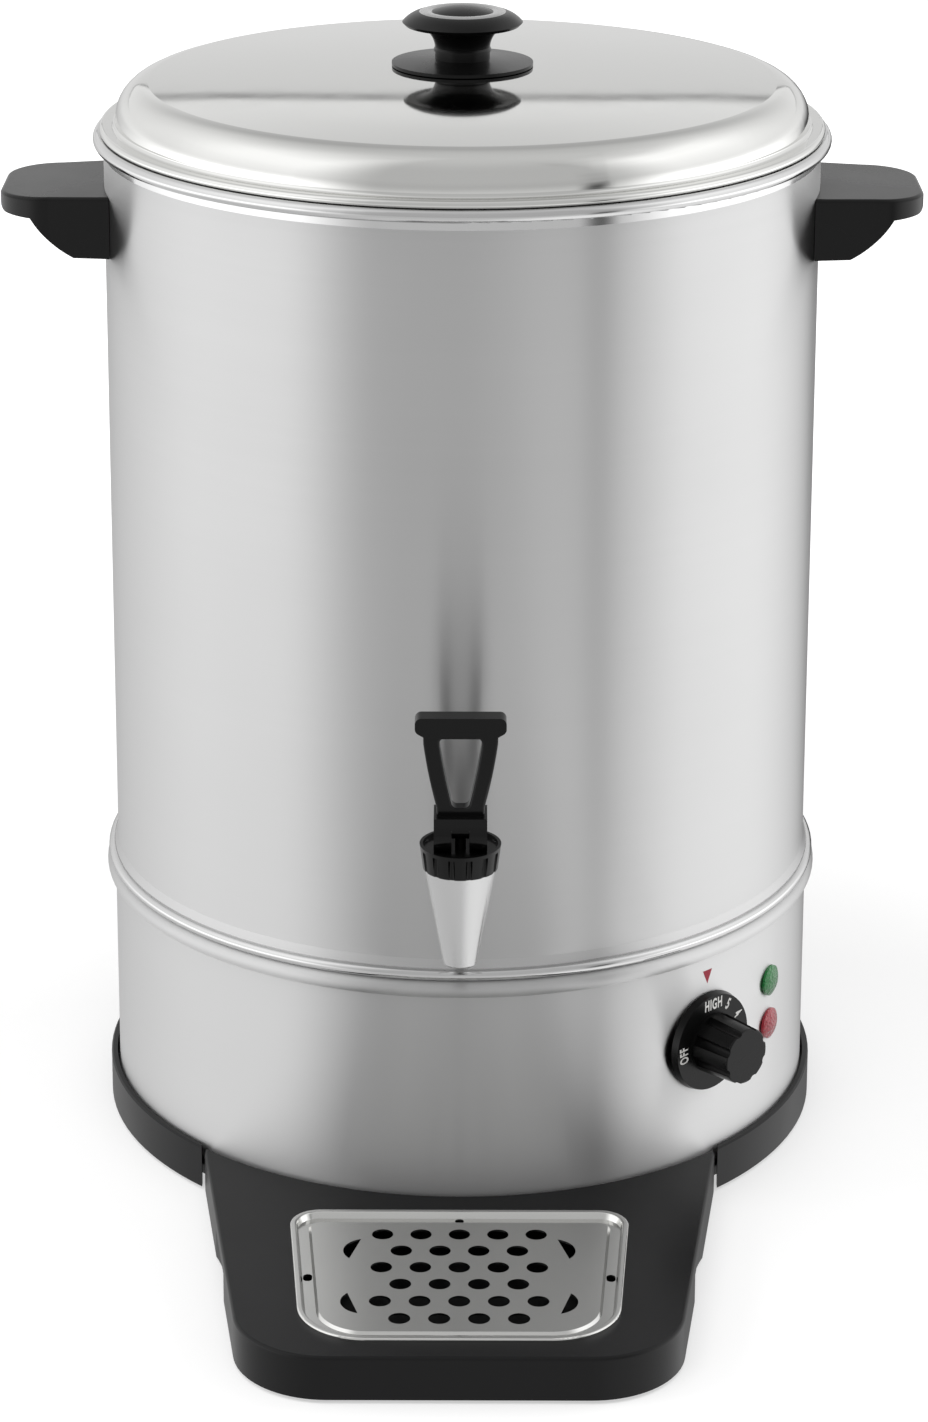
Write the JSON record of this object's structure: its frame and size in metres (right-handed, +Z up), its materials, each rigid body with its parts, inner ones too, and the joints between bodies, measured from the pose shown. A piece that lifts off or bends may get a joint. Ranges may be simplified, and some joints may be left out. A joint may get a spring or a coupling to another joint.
{
  "type": "hot drinks urn",
  "caption": "Round stainless catering urn with a polished lid, side handles, a lever tap over a drip platform, and a dial thermostat with pilot lamps",
  "frame": {"origin": "on the tank's axis, at the height of the bench that the four feet stand on", "axes": "+Z up along the tank's axis, -Y towards the user through the tap, +X towards the user's right-hand handle"},
  "size_m": [0.448, 0.5254, 0.5656],
  "materials": {
    "stainless": "stainless sheet, satin outside",
    "mirror_stainless": "stainless sheet, pressed and polished",
    "satin_metal": "satin metal, fine blasted",
    "zinc_steel": "zinc plated steel",
    "galvanised": "galvanised steel sheet",
    "spring_steel": "drawn stainless wire",
    "brass_nickel": "turned brass",
    "copper": "drawn copper tube",
    "cast_aluminium": "cast aluminium",
    "element_sheath": "heat-darkened steel tube",
    "black_plastic": "moulded phenolic, satin black",
    "black_nylon": "moulded nylon, black",
    "dark_phenolic": "moulded phenolic, dark brown",
    "white_plastic": "moulded nylon, off white",
    "red_plastic": "moulded plastic, red",
    "green_lens": "clear moulded lens, green",
    "red_lens": "clear moulded lens, red",
    "black_rubber": "rubber, black",
    "silicone": "silicone rubber, translucent white"
  },
  "bodies": {
    "base": {"tank_wall": "stainless", "tank_floor": "stainless", "tie_rods": "zinc_steel", "tie_rod_nuts": "zinc_steel", "skirt_casing": "stainless", "base_ring": "black_plastic", "base_plate": "galvanised", "base_screws": "zinc_steel", "feet": "black_rubber", "handle_left": "black_plastic", "handle_right": "black_plastic", "handle_screws": "zinc_steel", "handle_seals": "silicone", "heat_spreader": "cast_aluminium", "heating_element": "element_sheath", "element_clamp": "zinc_steel", "element_nut": "zinc_steel", "thermostat_body": "dark_phenolic", "thermostat_nut": "brass_nickel", "thermostat_probe": "copper", "boil_dry_cutout": "dark_phenolic", "terminal_block": "white_plastic", "cord_gland": "black_nylon", "cord_gland_nut": "black_nylon", "lamp_lens_green": "green_lens", "lamp_lens_red": "red_lens", "lamp_bodies": "white_plastic", "lamp_clips": "zinc_steel", "tap_body": "satin_metal", "tap_outer_seal": "silicone", "tap_inner_seal": "silicone", "tap_nut": "zinc_steel", "tap_bonnet": "black_plastic", "tap_spring": "spring_steel"},
    "lid": {"lid_shell": "mirror_stainless", "lid_guide_ring": "stainless", "knob_disc": "black_plastic", "knob_grip": "black_plastic", "knob_ring": "satin_metal", "knob_insert": "black_plastic", "knob_screw": "zinc_steel"},
    "tap_valve": {"tap_stem": "black_nylon", "tap_seat_cup": "silicone"},
    "tap_handle": {"tap_lever": "black_plastic", "tap_lever_pin": "spring_steel"},
    "dial": {"dial_knob": "black_plastic", "thermostat_spindle": "zinc_steel"},
    "reset": {"reset_button": "red_plastic"},
    "drip_station": {"drip_platform": "black_plastic", "platform_pads": "black_rubber"},
    "grille": {"drip_grille": "mirror_stainless"}
  },
  "joints": [
    {"name": "lid_lift", "type": "slide", "parent": "base", "child": "lid", "axis": [0, 0, 1], "range_m": [0, 0.16]},
    {"name": "dial_turn", "type": "hinge", "parent": "base", "child": "dial", "pos_m": [0.1223, -0.1321, 0.082], "axis": [0.6794, -0.7337, 0], "range_deg": [0, 270]},
    {"name": "tap_stem_lift", "type": "slide", "parent": "base", "child": "tap_valve", "axis": [0, 0, 1], "range_m": [0, 0.00293], "deforming": ["tap_spring"]},
    {"name": "tap_lever_pull", "type": "hinge", "parent": "tap_valve", "child": "tap_handle", "pos_m": [0, -0.222, 0.228], "axis": [1, 0, 0], "range_deg": [0, 40], "stiffness_Nm_per_rad": 0.15, "springref_deg": -20.05},
    {"name": "reset_press", "type": "slide", "parent": "base", "child": "reset", "axis": [0, 0, 1], "range_m": [0, 0.0015], "stiffness_N_per_m": 400, "springref_m": -0.001},
    {"name": "platform_pull", "type": "slide", "parent": "base", "child": "drip_station", "axis": [0, -1, 0], "range_m": [0, 0.12]},
    {"name": "grille_lift", "type": "slide", "parent": "drip_station", "child": "grille", "axis": [0, 0, 1], "range_m": [0, 0.03]}
  ],
  "couplings": [
    {"joint": "tap_lever_pull", "follows": "tap_stem_lift", "rad_per_m": 238.1}
  ]
}
